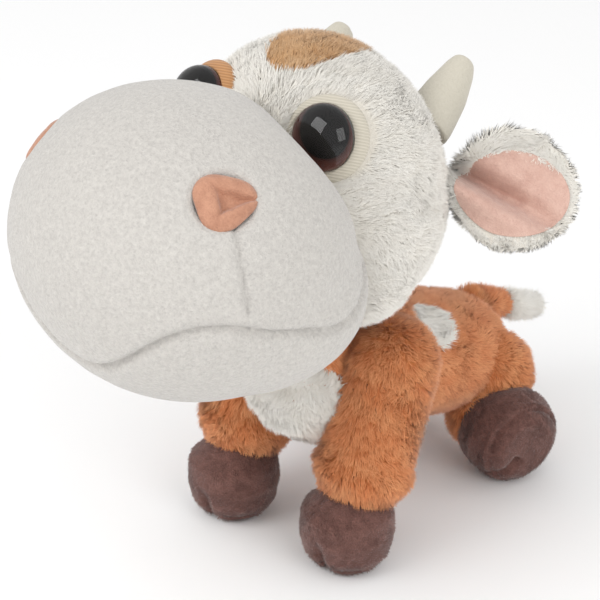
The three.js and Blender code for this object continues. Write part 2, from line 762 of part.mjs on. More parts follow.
const sides = [
  { side: "left", of: (shape) => shape, at: (point) => point, knit: ribKnit },
  { side: "right", of: mirrored, at: opposite, knit: tanKnit },
];
for (const { side, of, at, knit } of sides) {
  mesh(headGroup, `eye_patch_${side}`, of(leftPatch), knit);
  mesh(headGroup, `eye_dome_${side}`, of(solid(eyeDome, eyeFrame)), clearPlastic);
  mesh(headGroup, `eye_iris_${side}`, of(solid(eyeIris, eyeFrame)), irisPaint);
  mesh(headGroup, `eye_shank_${side}`, of(solid(eyeBack, eyeFrame)), blackPlastic);
  mesh(headGroup, `eye_washer_${side}`, of(solid(eyeWasher, eyeFrame)), whitePlastic);
  mesh(headGroup, `horn_${side}`, of(leftHorn), felt);
  mesh(headGroup, `nostril_${side}`, nostrilPad(nostrilAt[side]), salmonVelour);

  const earGroup = groupAt(at(earSeat), headGroup);
  mesh(earGroup, `ear_${side}_outer`, of(leftEar), creamFleece);
  mesh(earGroup, `ear_${side}_inner`, of(leftLining), pinkVelour);

  const foreGroup = groupAt(at(foreTop), cow);
  mesh(foreGroup, `front_leg_${side}_plush`, of(legPlush), tanFleece);
  mesh(foreGroup, `front_leg_${side}_stuffing`, of(legFilling), filling);
  mesh(foreGroup, `front_hoof_${side}`, of(leftForehoof), brownVelour);
  mesh(foreGroup, `front_sole_${side}`, of(leftForesole), brownVelour);

  const hindGroup = groupAt(at(hipPivot), cow);
  mesh(hindGroup, `hind_leg_${side}_plush`, of(thighPlush), tanFleece);
  mesh(hindGroup, `hind_leg_${side}_stuffing`, of(thighFilling), filling);
  mesh(hindGroup, `hind_hoof_${side}`, of(leftHindhoof), brownVelour);
  mesh(hindGroup, `hind_sole_${side}`, of(leftHindsole), brownVelour);
}

// The toy moved so that its origin is on the ground, under its middle
const bounds = new THREE.Box3().setFromObject(cow);
const middle = bounds.getCenter(vec(0, 0, 0));
cow.position.set(-middle.x, -middle.y, -bounds.min.z);

export default cow;
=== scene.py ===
# A stuffed toy cow: sewn covers of fleece, velour, knit and felt over wadding, with glossy safety
# eyes. Sizes are in millimetres and places are in the frame of the part: the cow faces -Y, +X is its
# left side, +Z is up.
import math

import bmesh
import bpy
import numpy as np
from mathutils import Matrix, Vector
from mathutils.bvhtree import BVHTree
from mathutils.kdtree import KDTree


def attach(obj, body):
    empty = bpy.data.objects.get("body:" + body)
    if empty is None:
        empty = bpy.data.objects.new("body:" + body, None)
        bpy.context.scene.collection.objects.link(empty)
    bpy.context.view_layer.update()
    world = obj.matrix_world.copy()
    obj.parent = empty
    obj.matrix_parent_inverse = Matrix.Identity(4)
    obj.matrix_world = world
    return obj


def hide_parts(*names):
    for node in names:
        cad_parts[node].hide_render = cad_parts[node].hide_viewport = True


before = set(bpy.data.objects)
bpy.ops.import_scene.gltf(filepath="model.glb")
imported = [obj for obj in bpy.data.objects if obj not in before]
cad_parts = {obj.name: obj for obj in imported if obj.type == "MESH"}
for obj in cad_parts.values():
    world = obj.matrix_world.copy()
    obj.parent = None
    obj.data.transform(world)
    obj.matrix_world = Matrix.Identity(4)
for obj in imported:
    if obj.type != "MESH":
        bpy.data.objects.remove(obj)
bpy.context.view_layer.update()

MM = 0.001
SIDES = (("left", 1), ("right", -1))

# Sizes, in millimetres
PILE = 1.6  # how far the backing of the long fleece lies under the tips of its dense pile
SWELL = 1.4  # how far the full muzzle swells past its pattern

HEAD = {"at": (0, -14.6, 125.4), "size": (47.5, 37.5, 46)}
SKULL = {"at": (0, -13.5, 129), "size": (45.5, 36.5, 45.5)}
CHEEK = {"at": (24, -22, 112), "size": (22, 18, 24)}
MUZZLE = {"at": (0, -73.8, 127), "size": (54.3, 46, 45.8)}
JOWLS = {"at": (0, -66.8, 115), "size": (55, 41.5, 33.5)}
NECK = {"top": 92, "foot": 56, "radius": 19.5}
TRUNK = (  # y, z, half width and half height of the trunk from chest to rump
    (-27, 55, 16, 14),
    (-18, 57, 24, 22),
    (0, 57, 28, 26),
    (14, 53, 28, 24.5),
    (28, 48, 28, 23),
    (42, 43.5, 28, 22.5),
    (54, 40, 27, 21.5),
    (65, 38, 24, 19),
)
TRUNK_STEPS = ((-27, -10, 50, 65), (8.5, 14, 14, 14.5))  # half length of its round pieces, by their y
FORELEG = {"top": (26.5, -5.8, 67), "hem": (25.4, -19.0, 28), "radius": (16.6, 16.0), "cuff": 17.3}
FOREHOOF = {
    "at": (25.2, -25.2, 0),
    "outline": ((7.5, 0), (11.6, 2), (14.3, 6.5), (15.6, 13.5), (15, 21), (8, 27)),
}
HIP = {"at": (19, 63.2, 32.5), "size": (15, 16, 16)}
KNEE = {"at": (20, 59.2, 21), "size": (14, 16.5, 16.5)}
HINDHOOF = {
    "at": (33, 55.2, 16.5),
    "outline": ((11, 0), (15.6, 3.8), (17.2, 12), (15.6, 20), (8, 24)),
    "out": 11.5,
}
TAIL = {"at": (0, 75.2, 50), "root": 6.6, "tip": 5.2, "length": 48, "seam": 22, "gap": 3, "under": 1.8}
BIB = {"z": 52, "wide": 22, "tall": 24, "front": -6}
BACK_PATCH = {"at": (0, 28.2, 45), "long": 10, "wide": 9}
CROWN = {"y": -10.8, "wide": 12.5, "long": 20, "low": 145}

HORN = {"radii": (8.6, 7.3, 4.9), "length": 25, "lean": 2.5, "base": 3, "through": 12, "lap": 1}
HORN_SEAM = {"deep": 0.55, "wide": 0.7}
EAR = {"long": 41.5, "wide": 18.4, "thick": 3, "dish": 9}
LINING = {"long": 36.5, "wide": 13.4, "thick": 1.4, "start": 0.8, "lift": 1.5, "shift": 0.8}
EAR_FOLD = {"long": 36, "slope": 0.44, "curl": 1.6, "ripple": 0.5}
EAR_GROOVE = {"deep": 12.5, "wide": 3.4}
EAR_LAP = {"tall": 7.5, "wide": 4.6, "at": 6.5}
EYE = {"radius": 10, "base": 1.2, "dome": 6.6, "pupil": 7.3, "sink": 2.2, "aside": 2.4, "reach": 13}
EYE_PATCH = {"radius": 13.4, "crown": 2.4, "rise": 2.3, "under": 6, "middle": 0.9, "through": 14, "lap": 0.8}
EYE_HOLLOW = {"deep": 7.0, "wide": 17}
NOSTRIL = {"wide": 9, "tall": 8.3, "thick": 0.8, "proud": 0.5, "pocket": 2.9, "edge": 1.5}
NOSTRIL_WELL = {"deep": 5.0, "share": 0.95, "through": 16}
MOUTH = {"middle": 101, "cheek": 123, "cheek_x": 42, "corner": 114, "corner_x": 56}
MOUTH_SEAM = {"deep": 2.5, "wide": 1.3, "back": 30}
DART = {"deep": 1.3, "wide": 0.8, "long": 30, "through": 20, "aside": 1, "lean": 0.1}
CLEFT = {"wide": 1.7, "deep": 2.6, "top": 12, "fade": 3, "front": -4}
SOLE_SEAM = {"deep": 1.3, "wide": 0.8, "z": 3.2, "inside": 8}
EDGE = 1.6  # how far the pile laps over the edge of a piece that has none
BARE_EAR = (7, 5, 4)  # half the size of the bare place on the head where an ear is sewn on
UNDER_HEAD = 6  # the neck's pile ends this far inside the head
RIB = 0.9  # from one rib of the knit to the next

# Locks of each pile: how many to a square millimetre, how long and how wide they are, and how they
# stand, swirl, stray and draw together in tufts. The tan fleece stands up in small clumps
FLUFFY = {"rise": 0.7, "swirl": 0.4, "stray": 0.45, "tuft": 2.6, "pull": 0.5}
HEAD_LOCKS = {"density": 8.4, "length": 3.5, "width": 0.41, "rise": 0.5, "swirl": 0.3}
CROWN_LOCKS = {"density": 11, "length": 3.5, "width": 0.4, **FLUFFY}
EAR_LOCKS = {"density": 10, "width": 0.42, "rise": 0.35}
EAR_PILE = {"short": 2.3, "more": 2.2, "fade": 20, "upper": 6, "near": 34}
TRUNK_LOCKS = {"density": 7, "length": 3.7, "width": 0.46, **FLUFFY}
BIB_LOCKS = {"density": 11, "length": 4.6, "width": 0.5, "rise": 0.45, "swirl": 0.35}
LEG_LOCKS = {"density": 7.3, "length": 3.7, "width": 0.46, **FLUFFY}
HOOF_LOCKS = {"density": 3.6, "length": 1.5, "width": 0.36, "rise": 0.45, "swirl": 0.8, "stray": 0.4}
TAIL_LOCKS = {"density": 8, "length": 4.0, "width": 0.42, "rise": 0.45}
TAIL_TIP_LOCKS = {"density": 9, "length": 5.0, "width": 0.42, "rise": 0.45}

# Directions, in degrees: a bearing turns from straight ahead to the left side, a climb is up
EYE_AT = (41, 39)
EYE_LOOKS = (4, 15)
PATCH_LOOKS = (18, 26)
HORN_AT = (145, 25)
HORN_LEANS = (180, 33)
EAR_AT = (126, 4)
EAR_SWEEPS = (139, -11)
EAR_FACES = (40, 27)
NOSTRIL_AT = {"left": (57.5, 39.5), "right": (-69, 34)}
BACK_PATCH_LOOKS = (90, 50)
HINDHOOF_LOOKS = (72, -7)
HIND_TOE = (-30, -40)
TAIL_DROOPS = (180, -23)


def heading(direction):
    bearing, climb = (math.radians(angle) for angle in direction)
    level = math.cos(climb)
    return Vector((math.sin(bearing) * level, -math.cos(bearing) * level, math.sin(climb)))


def seat(form, direction):
    """The place on an egg in a direction from its middle."""
    ray = heading(direction)
    return Vector(form["at"]) + Vector(r * s for r, s in zip(ray, form["size"]))


def looking(point, z, near=(0, 0, 1)):
    """A frame at a point whose Z looks one way and whose Y is near a second direction."""
    z = Vector(z).normalized()
    x = Vector(near).cross(z).normalized()
    y = z.cross(x)
    turn = Matrix((x, y, z)).transposed().to_4x4()
    return Matrix.Translation(point) @ turn


MIRROR = Matrix.Scale(-1, 4, (1, 0, 0))


def blob(at, size):
    return Matrix.Translation(at) @ Matrix.Diagonal((*size, 1))


def chain(a, b, ra, rb, steps=8, less=0):
    """Round pieces in a row from one point to another."""
    shares = [i / steps for i in range(steps + 1)]
    radii = [ra + (rb - ra) * share - less for share in shares]
    return [blob(Vector(a).lerp(Vector(b), s), (r, r, r)) for s, r in zip(shares, radii)]


def in_order(bm):
    """Vertices and faces go by place, because spheres and spins leave them in a new order each run."""
    for parts, place in (
        (bm.verts, lambda vert: tuple(vert.co)),
        (bm.faces, lambda face: sorted(vert.index for vert in face.verts)),
    ):
        ranks = {part: rank for rank, part in enumerate(sorted(parts, key=place))}
        parts.sort(key=ranks.get)
        parts.index_update()


def piece(name, bm):
    """A bmesh in millimetres as an object of the scene."""
    in_order(bm)
    mesh = bpy.data.meshes.new(name)
    bm.to_mesh(mesh)
    bm.free()
    obj = bpy.data.objects.new(name, mesh)
    bpy.context.scene.collection.objects.link(obj)
    return obj


def settle(obj):
    """Modifiers become part of the mesh."""
    graph = bpy.context.evaluated_depsgraph_get()
    mesh = bpy.data.meshes.new_from_object(obj.evaluated_get(graph))
    obj.modifiers.clear()
    old = obj.data
    obj.data = mesh
    bpy.data.meshes.remove(old)
    mesh.shade_smooth()
    return obj


def skinned(obj, voxel, smooth):
    """One closed skin over everything in the mesh."""
    remesh = obj.modifiers.new("skin", "REMESH")
    remesh.mode = "VOXEL"
    remesh.voxel_size = voxel
    ease = obj.modifiers.new("ease", "SMOOTH")
    ease.factor = 0.5
    ease.iterations = smooth
    return settle(obj)


def stuffed(name, places, voxel=1.2, smooth=10, mirror=False):
    bm = bmesh.new()
    for place in places:
        bmesh.ops.create_uvsphere(bm, u_segments=32, v_segments=20, radius=1, matrix=place)
    if mirror:
        bm.transform(MIRROR)
        bmesh.ops.reverse_faces(bm, faces=bm.faces)
    return skinned(piece(name, bm), voxel, smooth)


def turned(name, outline, place, voxel=0.8, smooth=4, steps=48):
    """An outline of radius and height spun about its own Z axis."""
    bm = bmesh.new()
    rim = [bm.verts.new((radius, 0, height)) for radius, height in outline]
    edges = [bm.edges.new(pair) for pair in zip(rim, rim[1:])]
    bmesh.ops.spin(
        bm, geom=rim + edges, cent=(0, 0, 0), axis=(0, 0, 1), angle=2 * math.pi, steps=steps, use_merge=True
    )
    bmesh.ops.remove_doubles(bm, verts=bm.verts, dist=0.001)
    bmesh.ops.holes_fill(bm, edges=bm.edges, sides=0)
    bmesh.ops.recalc_face_normals(bm, faces=bm.faces)
    bm.transform(place)
    if place.determinant() < 0:
        bmesh.ops.reverse_faces(bm, faces=bm.faces)
    obj = piece(name, bm)
    return skinned(obj, voxel, smooth) if voxel else settle(obj)


def points_of(obj):
    flat = np.empty(len(obj.data.vertices) * 3)
    obj.data.vertices.foreach_get("co", flat)
    return flat.reshape(-1, 3)


def normals_of(obj):
    flat = np.empty(len(obj.data.vertices) * 3)
    obj.data.vertices.foreach_get("normal", flat)
    return flat.reshape(-1, 3)


def move_points(obj, points):
    obj.data.vertices.foreach_set("co", np.asarray(points, float).ravel())
    obj.data.update()


def bell(distance, width):
    """How much of a seam's or hollow's depth is felt this far from its middle."""
    return np.exp(-((distance / width) ** 2))


def in_frame(place, points):
    """Points in a frame's own coordinates."""
    back = np.array(place.inverted())
    return points @ back[:3, :3].T + back[:3, 3]


def surface(obj):
    mesh = obj.data
    mesh.calc_loop_triangles()
    corners = np.empty(len(mesh.loop_triangles) * 3, int)
    mesh.loop_triangles.foreach_get("vertices", corners)
    return points_of(obj), normals_of(obj), corners.reshape(-1, 3)


def tree_of(obj):
    points, _, corners = surface(obj)
    return BVHTree.FromPolygons(points.tolist(), corners.tolist())


def outside(points, form, grow=0.0):
    """Which points lie outside an egg."""
    offset = (points - np.array(form["at"])) / (np.array(form["size"]) + grow)
    return (offset**2).sum(1) > 1


def unit(vectors):
    return vectors / np.maximum(np.linalg.norm(vectors, axis=-1, keepdims=True), 1e-9)


# Pile: each lock of fibres is a thin three-sided spike, rooted in the backing, its broad side
# outward. Its own UV map holds a shade for the lock, across, and how far along the lock it is, up.
LOCKS_IN_A_PIECE = 65000
ROOT, TIP = 0.02, 0.98
ROOT_DEPTH = 0.3  # how deep a lock starts under the backing
SWIRL, EDDY, CLUMP, SHADE = 26, 9, 7, 12  # over how many millimetres lean, height and shade change


def waves(points, rng, length, count=6):
    """A smooth random field of vectors that changes over a length."""
    turns = unit(rng.normal(0, 1, (count, 3))) * (2 * math.pi / length) * rng.uniform(0.6, 1.6, (count, 1))
    sizes = rng.normal(0, 1, (count, 3)) / math.sqrt(count / 2)
    return np.sin(points @ turns.T + rng.uniform(0, 2 * math.pi, count)) @ sizes


def pile(
    name, skin, comb, seed, keep=None, lit=None,
    *, density, length, width, rise, swirl=0.45, stray=0.3, tuft=3.0, pull=0.3,
):
    """Locks all over a skin, so many to a square millimetre, combed one way in soft swirls."""
    rng = np.random.default_rng(seed)
    points, normals, corners = surface(skin)
    a, b, c = (points[corners[:, i]] for i in range(3))
    area = np.linalg.norm(np.cross(b - a, c - a), axis=1) / 2
    count = int(area.sum() * density)
    chosen = rng.choice(len(corners), count, p=area / area.sum())
    u, v = rng.random((2, count))
    fold = u + v > 1
    u[fold], v[fold] = 1 - u[fold], 1 - v[fold]
    weights = np.stack([1 - u - v, u, v], 1)[:, :, None]
    roots = (points[corners[chosen]] * weights).sum(1)
    up = unit((normals[corners[chosen]] * weights).sum(1))
    if keep is not None:
        kept = keep(roots)
        roots, up = roots[kept], up[kept]
    total = len(roots)

    flow = np.array(comb(roots), float)
    flow = unit(flow - (flow * up).sum(1, keepdims=True) * up)
    flow += waves(roots, rng, SWIRL) * swirl + waves(roots, rng, EDDY) * swirl * 0.7
    flow += rng.normal(0, stray, (total, 3))
    flow = unit(flow - (flow * up).sum(1, keepdims=True) * up)
    stand = rise * rng.uniform(0.7, 1.4, (total, 1)) + waves(roots, rng, CLUMP)[:, :1] * 0.12
    longest = length(roots)[:, None] if callable(length) else length
    reach = longest * rng.uniform(0.7, 1.15, (total, 1))
    tips = roots + unit(flow + up * stand) * reach
    if tuft:
        centres = roots[rng.integers(0, total, max(1, int(total / density / tuft**2)))]
        tree = KDTree(len(centres))
        for i, centre in enumerate(centres):
            tree.insert(centre, i)
        tree.balance()
        middle = centres[[tree.find(root)[1] for root in roots]]
        tips += (middle - roots) * pull * rng.uniform(0.4, 1.6, (total, 1))

    axis = unit(tips - roots)
    across = unit(np.cross(axis, up + rng.normal(0, 0.3, (total, 3))))
    half = width / 2 * rng.uniform(0.7, 1.3, (total, 1))
    low = roots - up * ROOT_DEPTH
    ends = np.stack([low - across * half, low + across * half, low - up * half, tips], 1)
    tone = waves(roots, rng, SHADE)[:, 0] * 0.16 + rng.normal(0.5, 0.16, total)
    shade = np.clip(tone, ROOT, TIP)

    if lit is not None:
        up = unit(up + np.array(lit) * np.clip((up * lit).sum(1, keepdims=True) + 1, 0, 1))
    parts = math.ceil(total / LOCKS_IN_A_PIECE)
    cuts = [total * part // parts for part in range(parts + 1)]
    return [
        locks(f"{name}_{i + 1}" if parts > 1 else name, ends[first:last], up[first:last], shade[first:last])
        for i, (first, last) in enumerate(zip(cuts, cuts[1:]))
    ]


def locks(name, ends, up, shade):
    """Locks as one mesh, shaded along the cover that they stand on."""
    total = len(ends)
    sides = np.array([(0, 1, 3), (1, 2, 3), (2, 0, 3)])
    corners = (np.arange(total)[:, None, None] * 4 + sides).reshape(-1, 3)
    mesh = bpy.data.meshes.new(name)
    mesh.vertices.add(total * 4)
    mesh.vertices.foreach_set("co", ends.ravel())
    mesh.loops.add(corners.size)
    mesh.loops.foreach_set("vertex_index", corners.ravel())
    mesh.polygons.add(len(corners))
    mesh.polygons.foreach_set("loop_start", np.arange(len(corners)) * 3)
    mesh.update(calc_edges=True)
    along = np.tile([ROOT, ROOT, ROOT, TIP], total)
    uv = mesh.uv_layers.new(name="OFBake")
    uv.data.foreach_set("uv", np.stack([np.repeat(shade, 4), along], 1)[corners.ravel()].ravel())
    mesh.shade_smooth()
    mesh.normals_split_custom_set_from_vertices(np.repeat(up, 4, axis=0).tolist())
    obj = bpy.data.objects.new(name, mesh)
    bpy.context.scene.collection.objects.link(obj)
    return obj


# Materials
def linear(code):
    """A colour written in sRGB hex as linear values."""
    shares = [int(code[i : i + 2], 16) / 255 for i in (0, 2, 4)]
    return (*(s / 12.92 if s <= 0.04045 else ((s + 0.055) / 1.055) ** 2.4 for s in shares), 1)


def add(tree, kind, inputs=None, **settings):
    """A node with its settings, and its inputs linked or given a value."""
    node = tree.nodes.new(f"ShaderNode{kind}")
    for key, value in settings.items():
        setattr(node, key, value)
    for key, value in (inputs or {}).items():
        if isinstance(value, bpy.types.NodeSocket):
            tree.links.new(value, node.inputs[key])
        else:
            node.inputs[key].default_value = value
    return node


def begun(name, **sockets):
    """A new material and its shader, with plain values on the shader's own sockets."""
    made = bpy.data.materials.new(name)
    made.use_nodes = True
    shader = made.node_tree.nodes["Principled BSDF"]
    for key, value in sockets.items():
        shader.inputs[key.replace("_", " ")].default_value = value
    return made, made.node_tree, shader


def covered(tree, shader, share, dark, light, relief=0.0):
    """The shader's colour goes from dark to light with a share, and its surface rises with it."""
    colour = add(tree, "Mix", {0: share, 6: linear(dark), 7: linear(light)}, data_type="RGBA")
    tree.links.new(colour.outputs[2], shader.inputs["Base Color"])
    if relief:
        bump = add(tree, "Bump", {"Height": share, "Distance": relief * MM})
        tree.links.new(bump.outputs["Normal"], shader.inputs["Normal"])


# Polyester fleece with a long brushed pile: each lock has a random tone between dark and light, and is
# painted darker towards its root, down to the deep colour, as painted shade deep in the pile, so that its
# tips stand paler as painted light
def fleece(name, deep, dark, light):
    made, tree, shader = begun(name, Roughness=0.85, Sheen_Weight=0.25, Sheen_Roughness=0.5)
    uv = add(tree, "UVMap", uv_map="OFBake").outputs["UV"]
    parts = add(tree, "SeparateXYZ", {"Vector": uv})
    lock = add(tree, "Mix", {0: parts.outputs["X"], 6: linear(dark), 7: linear(light)}, data_type="RGBA")
    # Painted shade: from the root to three quarters of the way along, the lock's colour goes from the deep
    # colour to its own tone
    rise = add(tree, "MapRange", {"Value": parts.outputs["Y"], "From Max": 0.75})
    whole = {0: rise.outputs["Result"], 6: linear(deep), 7: lock.outputs[2]}
    whole = add(tree, "Mix", whole, data_type="RGBA")
    tree.links.new(whole.outputs[2], shader.inputs["Base Color"])
    return made


# The knitted polyester backing of the fleece, matt, which shows only between the locks
def backing(name, dark, light):
    made, tree, shader = begun(name, Roughness=0.95)
    place = add(tree, "TexCoord").outputs["Object"]
    loops = add(tree, "TexNoise", {"Vector": place, "Scale": 1 / (1.2 * MM)}).outputs["Fac"]
    covered(tree, shader, loops, dark, light, relief=0.4)
    return made


# Polyester velour, cut short: the nap lies over in patches, and each patch is painted a little lighter or
# darker, a painted sheen for how the lie of the nap takes the light, while the shader's sheen lifts its
# edges. Its fibres are 0.05 mm apart, and are drawn about 0.5 mm so that they show as the velour's own fine
# mottle
def velour(name, dark, light, patch=5.0, relief=0.5):
    made, tree, shader = begun(name, Roughness=0.85, Sheen_Weight=0.35, Sheen_Roughness=0.4)
    place = add(tree, "TexCoord").outputs["Object"]
    patches = {"Vector": place, "Scale": 1 / (patch * MM), "Detail": 4.0}
    patches = add(tree, "TexNoise", patches).outputs["Fac"]
    fibres = {"Vector": place, "Scale": 1 / (0.5 * MM), "Detail": 2.0}
    fibres = add(tree, "TexNoise", fibres).outputs["Fac"]
    # Painted sheen: the broad patches make the colour lighter or darker; the fine fibres add the velour's
    # own mottle
    both = add(tree, "Math", {0: patches, 1: 1.6, 2: fibres}, operation="MULTIPLY_ADD").outputs[0]
    share = add(tree, "MapRange", {"Value": both, "From Min": 0.85, "From Max": 1.75}).outputs["Result"]
    covered(tree, shader, share, dark, light, relief)
    return made


# Pressed polyester felt: matt, with short fibres that lie every way, drawn 0.7 mm so that they show
def felt(name, dark, light):
    made, tree, shader = begun(name, Roughness=0.92, Sheen_Weight=0.2)
    place = add(tree, "TexCoord").outputs["Object"]
    fibres = add(tree, "TexNoise", {"Vector": place, "Scale": 1 / (0.7 * MM), "Detail": 5.0}).outputs["Fac"]
    covered(tree, shader, fibres, dark, light, relief=0.25)
    return made


# Rib knit of spun polyester, matt: rounded ribs side by side that run across the patch, the hollows between
# them painted darker as painted shade. The wave node makes a rib each tenth of pi
def rib_knit(name, dark, light, place):
    made, tree, shader = begun(name, Roughness=0.9, Sheen_Weight=0.15)
    turn = place.to_3x3().transposed().to_euler()
    point = add(tree, "TexCoord").outputs["Object"]
    point = add(tree, "Mapping", {"Vector": point, "Rotation": turn}).outputs["Vector"]
    scale = math.pi / (10 * RIB * MM)
    ribs = {"Vector": point, "Scale": scale, "Distortion": 0.5, "Detail Scale": 0.3}
    ribs = add(tree, "TexWave", ribs, bands_direction="Y")
    # Painted shade: the same wave darkens the hollows between the ribs and sinks them
    covered(tree, shader, ribs.outputs["Fac"], dark, light, relief=0.1)
    return made


# Paint on the back of the eye, dull, as the dome over it gives the gloss: a black pupil a little
# off the middle, a red-brown ring that is darker at both edges, and a black rim
IRIS = ((0.76, "74382c"), (0.88, "552a22"), (0.95, "120a09"))  # share of the reach, colour


def iris_paint(name, place):
    made, tree, shader = begun(name, Roughness=0.6, Specular_IOR_Level=0.0)
    point = add(tree, "TexCoord").outputs["Object"]
    axis = place.to_3x3() @ Vector((0, 0, 1))
    aside = Vector((math.copysign(0.38, axis.x), 0.33, 0.8)) * EYE["aside"]
    middle = -(place.to_translation() + aside - axis * aside.dot(axis)) * MM
    point = add(tree, "Mapping", {"Vector": point, "Location": middle}).outputs["Vector"]
    out = add(tree, "VectorMath", {0: point}, operation="LENGTH").outputs["Value"]
    share = add(tree, "Math", {0: out, 1: 1 / (EYE["reach"] * MM)}, operation="MULTIPLY").outputs[0]
    ramp = add(tree, "ValToRGB", {"Fac": share})
    stops = ramp.color_ramp.elements
    pupil = EYE["pupil"] / EYE["reach"]
    stops[0].position, stops[0].color = pupil - 0.02, linear("060404")
    stops[1].position, stops[1].color = pupil + 0.03, linear("4a221c")
    for position, colour in IRIS:
        stop = stops.new(position)
        stop.color = linear(colour)
    tree.links.new(ramp.outputs["Color"], shader.inputs["Base Color"])
    return made


# Clear acrylic, moulded and polished: see-through, with sharp bright reflections
def clear_acrylic(name):
    return begun(name, Base_Color=linear("fdf8f4"), Roughness=0.02, Transmission_Weight=1.0, IOR=1.49)[0]


# Injection-moulded nylon: half-matt, with the fine grain of the mould
def nylon(name, dark, light):
    made, tree, shader = begun(name, Roughness=0.45)
    place = add(tree, "TexCoord").outputs["Object"]
    grain = add(tree, "TexNoise", {"Vector": place, "Scale": 1 / (0.4 * MM)}).outputs["Fac"]
    covered(tree, shader, grain, dark, light, relief=0.03)
    return made


# The first colour of each fleece is painted shade at the roots of its locks; the other two are the random
# tones of the locks
CREAM_FLEECE = fleece("cream_fleece_pile", "ece6da", "f3eee4", "fffcf5")
TAN_FLEECE = fleece("tan_fleece_pile", "bd602b", "e0834b", "f7ae78")
CROWN_FLEECE = fleece("tan_fleece_crown", "bb8048", "cf9a62", "e6c096")
CREAM_BACKING = backing("cream_fleece_backing", "d6d0c5", "e4dfd5")
TAN_BACKING = backing("tan_fleece_backing", "c0703a", "da8a55")
CREAM_VELOUR = velour("cream_velour", "b8b4af", "cecac4", patch=1.2, relief=0.3)
PINK_VELOUR = velour("pink_velour", "c8a092", "dcb9aa", patch=3.0, relief=0.3)
# Its first colour is painted shade at the roots of the locks
BROWN_NAP = fleece("brown_velour_nap", "4a2d27", "5c3b34", "8f675d")
SALMON_VELOUR = velour("salmon_velour", "ac7a62", "c9957a", patch=3.0, relief=0.3)
BROWN_VELOUR = velour("brown_velour", "56362f", "80584f", patch=3.0, relief=0.4)
HORN_FELT = felt("cream_felt", "beb8a8", "d0cabc")
ACRYLIC = clear_acrylic("clear_acrylic")
BLACK_NYLON = nylon("black_nylon", "0d0c0c", "181616")
WHITE_NYLON = nylon("white_nylon", "dcdcd6", "f0f0ec")


def dress(obj, body, material, replaces=()):
    """A finished mesh goes to metres, gets its material and joins the toy."""
    obj.data.transform(Matrix.Scale(MM, 4))
    obj.data.materials.clear()
    obj.data.materials.append(material)
    if replaces:
        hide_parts(*replaces)
    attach(obj, body)


def dress_pile(made, body, material):
    for obj in made:
        dress(obj, body, material)


# Where everything sits
def flipped(place):
    return MIRROR @ place


eye_seat = seat(HEAD, EYE_AT)
patch_top = eye_seat + heading(PATCH_LOOKS) * EYE_PATCH["rise"]
patch_frame = looking(patch_top, heading(PATCH_LOOKS))
eye_frame = looking(patch_top - heading(EYE_LOOKS) * EYE["sink"], heading(EYE_LOOKS))
horn_frame = looking(seat(HEAD, HORN_AT), heading(HORN_LEANS))
ear_frame = looking(seat(HEAD, EAR_AT), heading(EAR_FACES), heading(EAR_SWEEPS))


def muzzle_frame(direction):
    """A frame on the muzzle that looks straight out of it."""
    place = seat(MUZZLE, direction)
    return looking(place, [(p - c) / s**2 for p, c, s in zip(place, MUZZLE["at"], MUZZLE["size"])])


nostril_frames = {side: muzzle_frame(NOSTRIL_AT[side]) for side, _ in SIDES}
back_patch_frame = looking(BACK_PATCH["at"], heading(BACK_PATCH_LOOKS))
fore_frame = looking(FOREHOOF["at"], (0, 0, 1), (0, 1, 0))
hind_looks = heading(HINDHOOF_LOOKS)
hind_sole = Vector(HINDHOOF["at"]) + hind_looks * HINDHOOF["out"]
hind_frame = looking(hind_sole, -hind_looks, -heading(HIND_TOE))
tail_frame = looking(TAIL["at"], heading(TAIL_DROOPS), (1, 0, 0))


def egg(form, less=0.0):
    return blob(form["at"], [s - less for s in form["size"]])


def both(points, place):
    """Points in a frame of the left side, those of the right side mirrored to it first."""
    return in_frame(place, points * np.where(points[:, :1] < 0, (-1, 1, 1), (1, 1, 1)))


def stuffed_head():
    cheeks = [egg(CHEEK, PILE), MIRROR @ egg(CHEEK, PILE)]
    return stuffed("head_cover", [egg(HEAD, PILE), egg(SKULL, PILE), *cheeks], voxel=1.4, smooth=12)


head_cover = stuffed_head()


def eye_hollow(points):
    """How far the seam draws the muzzle in beside an eye."""
    beside = np.abs(points) * (1, -1, 1) - np.array(eye_frame.translation)
    return EYE_HOLLOW["deep"] * bell(np.linalg.norm(beside, axis=1), EYE_HOLLOW["wide"])


def in_crown(points):
    wide, long = CROWN["wide"], CROWN["long"]
    across = (points[:, 0] / wide) ** 2 + ((points[:, 1] - CROWN["y"]) / long) ** 2
    return (across < 1) & (points[:, 2] > CROWN["low"])


def bare_head(points):
    """Where the head has no pile: in the muzzle, under the knit patches and under the horns."""
    patch = both(points, patch_frame)
    horn = both(points, horn_frame)
    ear = both(points, ear_frame)
    under_patch = np.hypot(patch[:, 0], patch[:, 1]) < EYE_PATCH["radius"] - EYE_PATCH["lap"]
    under_patch &= np.abs(patch[:, 2]) < EYE_PATCH["through"]
    under_horn = np.hypot(horn[:, 0], horn[:, 1]) < HORN["radii"][0] - HORN["lap"]
    under_horn &= np.abs(horn[:, 2]) < HORN["through"]
    under_ear = (np.abs(ear) < BARE_EAR).all(1)
    grow = -0.5 - eye_hollow(points)[:, None]
    in_muzzle = ~(outside(points, MUZZLE, grow) & outside(points, JOWLS, grow))
    return under_patch | under_horn | under_ear | in_muzzle


def head_comb(roots):
    return unit(roots - np.array(MUZZLE["at"])) * 0.9 + np.array((0, 0.3, -0.5))


def cream_head(points):
    return ~bare_head(points) & ~in_crown(points)


def tan_head(points):
    return ~bare_head(points) & in_crown(points)


made = pile("head_pile", head_cover, head_comb, 11, cream_head, **HEAD_LOCKS)
dress_pile(made, "head", CREAM_FLEECE)
made = pile("crown_pile", head_cover, head_comb, 12, tan_head, **CROWN_LOCKS)
dress_pile(made, "head", CROWN_FLEECE)
head_nodes = ("head_plush", "head_stuffing", "crown_patch")
dress(head_cover, "head", CREAM_BACKING, head_nodes)


